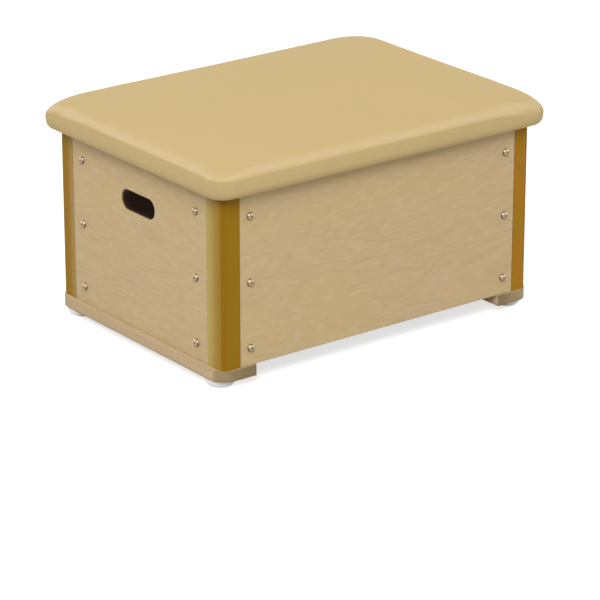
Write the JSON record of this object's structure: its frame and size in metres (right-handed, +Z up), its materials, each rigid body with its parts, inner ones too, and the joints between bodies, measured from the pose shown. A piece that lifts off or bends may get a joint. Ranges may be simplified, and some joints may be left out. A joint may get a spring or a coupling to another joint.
{
  "type": "vaulting box",
  "caption": "Low plywood vaulting box on runners with domed feet, rounded corner posts, end hand holes and a padded top.",
  "frame": {"origin": "on the floor under the middle of the box, at the feet's lowest face", "axes": "+Z up, +X along the long side to the right as seen from the front, +Y from the front long side to the back"},
  "size_m": [0.862, 0.64, 0.4767],
  "materials": {
    "cover": "satin",
    "foam": "matte",
    "birch_ply": "satin",
    "stained_post": "satin",
    "pale_wood": "matte",
    "foot": "satin",
    "screw": "polished"
  },
  "bodies": {
    "root": {"cover": "cover", "foam_pad": "foam", "top_board": "birch_ply", "front_panel": "birch_ply", "back_panel": "birch_ply", "left_end_panel": "birch_ply", "right_end_panel": "birch_ply", "left_runner": "pale_wood", "right_runner": "pale_wood", "front_cleat": "pale_wood", "back_cleat": "pale_wood", "left_end_cleat": "pale_wood", "right_end_cleat": "pale_wood", "front_left_post": "stained_post", "front_left_foot": "foot", "front_left_foot_screw": "screw", "front_left_runner_screw": "screw", "front_right_post": "stained_post", "front_right_foot": "foot", "front_right_foot_screw": "screw", "front_right_runner_screw": "screw", "back_left_post": "stained_post", "back_left_foot": "foot", "back_left_foot_screw": "screw", "back_left_runner_screw": "screw", "back_right_post": "stained_post", "back_right_foot": "foot", "back_right_foot_screw": "screw", "back_right_runner_screw": "screw", "front_screw_left_low": "screw", "front_screw_left_middle": "screw", "front_screw_left_high": "screw", "front_screw_right_low": "screw", "front_screw_right_middle": "screw", "front_screw_right_high": "screw", "front_board_screw_1": "screw", "front_board_screw_2": "screw", "back_screw_left_low": "screw", "back_screw_left_middle": "screw", "back_screw_left_high": "screw", "back_screw_right_low": "screw", "back_screw_right_middle": "screw", "back_screw_right_high": "screw", "back_board_screw_1": "screw", "back_board_screw_2": "screw", "left_end_screw_front_low": "screw", "left_end_screw_front_middle": "screw", "left_end_screw_front_high": "screw", "left_end_screw_back_low": "screw", "left_end_screw_back_middle": "screw", "left_end_screw_back_high": "screw", "left_end_board_screw_1": "screw", "right_end_screw_front_low": "screw", "right_end_screw_front_middle": "screw", "right_end_screw_front_high": "screw", "right_end_screw_back_low": "screw", "right_end_screw_back_middle": "screw", "right_end_screw_back_high": "screw", "right_end_board_screw_1": "screw"}
  },
  "joints": []
}
